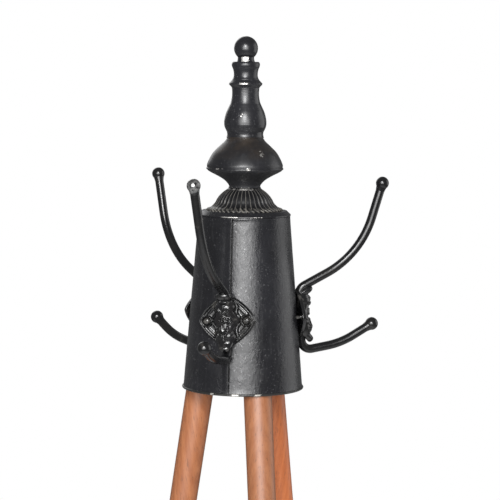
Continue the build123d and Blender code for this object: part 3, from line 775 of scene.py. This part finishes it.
# The ornament's sections down the plate, in millimetres: (height v, half width, underside, top).
ornament_sections = [
    (34.6, 1.0, 18.6, 19.6), (33.8, 6.0, 16.2, 21.8), (31.6, 9.4, 13.2, 23.2), (28.6, 10.2, 9.0, 22.8),
    (25.6, 9.6, 4.0, 20.0), (23.6, 10.2, 1.5, 17.0), (21, 11.8, 1.2, 17.6), (17, 13.4, 1.2, 19.4),
    (11, 12.2, 1.2, 18.0), (6, 15.0, 1.2, 16.2), (2.4, 18.6, 1.2, 15.6), (-0.6, 18.6, 1.2, 15.6),
    (-7, 13.0, 1.2, 16.0), (-12.5, 12.2, 1.2, 17.2), (-18, 13.6, 1.2, 18.8), (-23, 12.6, 2.0, 17.6),
    (-27, 10.4, 6.0, 17.6), (-31, 9.0, 10.4, 20.2), (-34, 7.4, 12.6, 21.0), (-36.6, 4.8, 14.4, 19.8),
    (-38.4, 1.0, 16.2, 18.0)]
section_line = smooth_line(ornament_sections, 8)
section_sides = 120
face_rows, face_columns = 110, 400
casting_voxel = 0.38 * MM
cone_angle = math.atan((mouth_radius - cone_top_radius) / (cone_top_z - mouth_z))
plate_frame = (Matrix.Translation((0, -cone_radius(plate_z), plate_z))
               @ Matrix.Rotation(math.pi / 2 - cone_angle, 4, "X") @ Matrix.Rotation(hook_lean, 4, "Z"))


def lozenge_level(u, v):
    """1 on the plate's rounded-lozenge border, less inside it."""
    across = (abs(u) / plate_half_width) ** plate_power
    up = (abs(v) / plate_half_height) ** plate_power
    return (across + up) ** (1 / plate_power)


def lozenge_depth(u, v):
    """Distance inwards from the plate's border."""
    level = lozenge_level(u, v)
    if level < 1e-6:
        return plate_half_height
    slope_u = (abs(u) / plate_half_width / level) ** (plate_power - 1) / plate_half_width
    slope_v = (abs(v) / plate_half_height / level) ** (plate_power - 1) / plate_half_height
    return (1 - level) / math.hypot(slope_u, slope_v)


def ornament_edge(v):
    """Half width of the middle ornament at height v."""
    for above, below in zip(section_line, section_line[1:]):
        if below[0] <= v <= above[0]:
            return above[1]
    return 0.0


def line_relief(u, v, start, end, half_width):
    """Raised line from start to end."""
    along = Vector((end[0] - start[0], end[1] - start[1]))
    from_start = Vector((u - start[0], v - start[1]))
    share = min(max(from_start.dot(along) / along.length_squared, 0.0), 1.0)
    return bump_at((from_start - along * share).length, 0, half_width)


def arc_relief(u, v, centre, radius, low, high, half_width=1.5):
    """Raised arc about a centre between two angles, in degrees from +u towards +v."""
    x, y = u - centre[0], v - centre[1]
    angle = math.degrees(math.atan2(y, x)) % 360
    inside = smoothstep(low, low + 14, angle) * (1 - smoothstep(high - 14, high, angle))
    return bump_at(math.hypot(x, y), radius, half_width) * inside


def face_height(u, v):
    """Height of the plate's face: a rim, a ribbon inside it, two cups and the ornament's footing."""
    depth = lozenge_depth(u, v)
    from_cup = math.hypot(abs(u) - cup_place, v)
    outside_cup = smoothstep(cup_wall + 1.2, cup_wall + 2.6, from_cup)
    height = plate_edge + (plate_ground - plate_edge) * smoothstep(0, plate_bevel, depth)
    height += rim_height * bump_at(depth, rim_inset, rim_inset)
    ribbon = ribbon_height * bump_at(depth, ribbon_inset, ribbon_half_width)
    footing = footing_height * bump_at(abs(u), ornament_edge(v) + 0.8, footing_half_width)
    height += max(ribbon, footing * smoothstep(3, 5, depth)) * outside_cup
    cup = cup_floor - plate_ground + cup_rim_height * bump_at(from_cup, cup_wall, cup_rim_half_width)
    inside_cup = 1 - smoothstep(cup_wall, cup_wall + cup_rim_half_width, from_cup)
    return height + (cup - (height - plate_ground)) * inside_cup


def foliage_relief(u, v):
    """Carving on the ornament, in millimetres.

    An eye, a flower, a pointed leaf below them and a hood of lapped leaves above.
    """
    side = abs(u)
    r_eye = math.hypot(u - eye_place[0], v - eye_place[1])
    eye = 1.5 * (1 - smoothstep(4.2, 5.2, r_eye)) + 0.9 * bump_at(r_eye, 3.8, 1.4)
    eye += 1.5 * bump_at(r_eye, 0, 1.6) - 2.6 * bump_at(r_eye, 1.9, 1.5)
    x, y = u - flower_place[0], v - flower_place[1]
    r_flower = math.hypot(x, y)
    petals = 1.3 * math.cos(petal_count * math.atan2(y, x)) * bump_at(r_flower, 3.1, 2.4)
    flower = 1.3 * (1 - smoothstep(4.0, 5.0, r_flower)) + petals + 1.2 * bump_at(r_flower, 0, 1.6)
    leaf = 2.6 * max(line_relief(side, v, (4.6, -6.8), (5.0, -11), 1.6),
                     line_relief(side, v, (5.0, -11), (0.4, -23.0), 1.6))
    leaf += 2.0 * bump_at(math.hypot(u, v + 24.6), 0, 2.6) - 1.2 * bump_at(math.hypot(u, v + 12), 0, 4.5)
    hood = 2.0 * max(arc_relief(side, v, (0, 25), 6.0, 262, 352, 1.6),
                     arc_relief(side, v, (0, 17), 7.4, 262, 352, 1.6))
    hood += 1.5 * line_relief(u, v, (0, 11), (0, 18), 1.5)
    curl = 1.8 * arc_relief(side, v, (11.6, -15.0), 3.4, 100, 260)
    plain = smoothstep(4.6, 5.6, min(r_eye, r_flower))
    return eye + flower + (leaf + hood + curl) * plain


def face_point(row, column):
    """The lozenge: its face from the middle out, then its flat back."""
    turn = math.tau * column / face_columns
    reach = 1 / lozenge_level(math.cos(turn), math.sin(turn))
    if row < face_rows:
        share = math.sin(math.pi / 2 * row / (face_rows - 1))
        u, v = share * reach * math.cos(turn), share * reach * math.sin(turn)
        height = face_height(u, v)
    else:
        share = float(row == face_rows)
        u, v = share * reach * math.cos(turn), share * reach * math.sin(turn)
        height = plate_back
    return plate_frame @ (Vector((u, v, height)) * MM)


def ornament_point(row, column):
    """The ornament: a loft down the plate whose ends stand off as tongues round the hook."""
    v, half_width, low, high = section_line[row]
    turn = math.tau * column / section_sides
    across, up = math.sin(turn), math.cos(turn)
    u = half_width * math.copysign(abs(across) ** 0.9, across)
    if up > 0:
        steepness = 0.6 + 0.6 * smoothstep(13, 18, half_width)
        height = low + (high - low) * up ** steepness
        height += foliage_relief(u, v) * smoothstep(0.2, 0.55, up) * (1 - smoothstep(26, 29, abs(v)))
    else:
        height = low + 0.8 * up
    return plate_frame @ (Vector((u, v, height)) * MM)


def cast_plate_mesh():
    """The face and the ornament run together into one casting."""
    verts, faces = ring_grid(face_rows + 2, face_columns, face_point)
    loft_verts, loft_faces = ring_grid(len(section_line), section_sides, ornament_point)
    first = len(verts)
    faces += [tuple(first + corner for corner in face) for face in loft_faces]
    faces.append(tuple(range(first, first + section_sides)))
    last = first + len(loft_verts) - section_sides
    faces.append(tuple(reversed(range(last, last + section_sides))))
    mesh = bpy.data.meshes.new("plate_blank")
    mesh.from_pydata([tuple(v) for v in verts + loft_verts], [], faces)
    blank = bpy.data.objects.new("plate_blank", mesh)
    bpy.context.scene.collection.objects.link(blank)
    remesh = blank.modifiers.new("cast", "REMESH")
    remesh.mode = "VOXEL"
    remesh.voxel_size = casting_voxel
    soften = blank.modifiers.new("soften", "SMOOTH")
    soften.factor = 0.5
    soften.iterations = 4
    graph = bpy.context.evaluated_depsgraph_get()
    casting = bpy.data.meshes.new_from_object(blank.evaluated_get(graph))
    bpy.data.objects.remove(blank)
    casting.shade_smooth()
    casting.materials.clear()
    casting.materials.append(castings)
    return casting


plate_mesh = cast_plate_mesh()
for side, azimuth in hook_azimuths.items():
    plate = bpy.data.objects.new(f"cast_plate_{side}", plate_mesh)
    plate.matrix_world = Matrix.Rotation(math.radians(azimuth), 4, "Z")
    bpy.context.scene.collection.objects.link(plate)
    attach(plate, "root")
    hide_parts(f"hook_plate_{side}")

# ======== studio ==========================================================================
camera_azimuth, camera_pitch = math.radians(16.3), math.radians(5.2)
camera_distance = 2.5
camera_roll = math.radians(0.57)
view_height = 1.533
frame_width = 0.625          # width seen at the stand's axis
axis_left_of_middle, aim_rise = 7.4 * MM, 1.2 * MM


def around(azimuth, distance, height):
    """Point at a distance and azimuth (degrees) round the stand."""
    return on_axis(distance, math.radians(azimuth), height)


def add_camera():
    """Long lens at the head's height, a little to the right of the front hook."""
    data = bpy.data.cameras.new("camera")
    data.sensor_width = 36.0
    data.lens = data.sensor_width * camera_distance / frame_width
    camera = bpy.data.objects.new("camera", data)
    bpy.context.scene.collection.objects.link(camera)
    back = Vector((math.sin(camera_azimuth) * math.cos(camera_pitch),
                   -math.cos(camera_azimuth) * math.cos(camera_pitch), math.sin(camera_pitch)))
    right = Vector((math.cos(camera_azimuth), math.sin(camera_azimuth), 0))
    target = Vector((0, 0, view_height + aim_rise)) + right * axis_left_of_middle
    turn = (-back).to_track_quat("-Z", "Y").to_matrix().to_4x4() @ Matrix.Rotation(camera_roll, 4, "Z")
    camera.matrix_world = Matrix.Translation(target + back * camera_distance) @ turn
    bpy.context.scene.camera = camera


def add_softbox(name, azimuth, distance, height, size, radiance, aim_height):
    """Rectangular soft light that looks at the stand; radiance is its brightness."""
    data = bpy.data.lights.new(name, "AREA")
    data.shape = "RECTANGLE"
    data.size, data.size_y = size
    data.energy = radiance * math.pi * size[0] * size[1]
    light = bpy.data.objects.new(name, data)
    light.location = around(azimuth, distance, height)
    light.rotation_euler = (Vector((0, 0, aim_height)) - light.location).to_track_quat("-Z", "Y").to_euler()
    bpy.context.scene.collection.objects.link(light)


def add_floor():
    """Round pale floor that fades out into the background."""
    mesh = bpy.data.meshes.new("floor")
    rings, columns, reach = 24, 96, 3.0
    def point(row, column):
        return on_axis(0.01 + reach * row / (rings - 1), math.tau * column / columns, 0)
    verts, faces = ring_grid(rings, columns, point)
    mesh.from_pydata([tuple(v) for v in verts], [], [face[::-1] for face in faces] + [tuple(range(columns))])
    floor = bpy.data.objects.new("floor", mesh)
    bpy.context.scene.collection.objects.link(floor)
    n = Nodes("floor")
    distance = n.tree.nodes.new("ShaderNodeVectorMath")
    distance.operation = "LENGTH"
    n.link(n.place, distance.inputs[0])
    n.put(n.shader.inputs["Alpha"], n.ramp(distance.outputs["Value"], 0.9, reach * 0.97, 1.0, 0.0))
    mesh.materials.append(n.finish(rgb(0.80, 0.80, 0.80), n.ramp(n.noise(3, 3), 0.3, 0.7, 0.75, 0.9)))


def add_world():
    """White background; the light that it gives is much weaker."""
    world = bpy.data.worlds.new("studio")
    world.use_nodes = True
    tree = world.node_tree
    tree.nodes.clear()
    output = tree.nodes.new("ShaderNodeOutputWorld")
    mix = tree.nodes.new("ShaderNodeMixShader")
    path = tree.nodes.new("ShaderNodeLightPath")
    room, backdrop = tree.nodes.new("ShaderNodeBackground"), tree.nodes.new("ShaderNodeBackground")
    room.inputs["Color"].default_value = rgb(0.98, 0.99, 1.0)
    room.inputs["Strength"].default_value = 0.20
    backdrop.inputs["Color"].default_value = rgb(1, 1, 1)
    backdrop.inputs["Strength"].default_value = 1.0
    tree.links.new(path.outputs["Is Camera Ray"], mix.inputs[0])
    tree.links.new(room.outputs[0], mix.inputs[1])
    tree.links.new(backdrop.outputs[0], mix.inputs[2])
    tree.links.new(mix.outputs[0], output.inputs[0])
    bpy.context.scene.world = world


add_camera()
# name, azimuth, distance, height, size, radiance, height that it aims at
for softbox in (
        ("key", 11, 2.9, 1.95, (2.8, 1.7), 6.6, 1.6),
        ("key_bulb", 11, 2.88, 1.90, (0.45, 0.45), 14.0, 1.5),
        ("key_core", 11, 2.8, 2.9, (0.85, 0.85), 32.0, 1.65),
        ("right_fill", 122, 2.6, 1.8, (2.0, 2.4), 1.25, 1.3),
        ("back", 215, 2.6, 2.6, (1.6, 1.6), 1.4, 1.3)):
    add_softbox(*softbox)
add_floor()
add_world()
bpy.context.scene.view_settings.view_transform = "Standard"
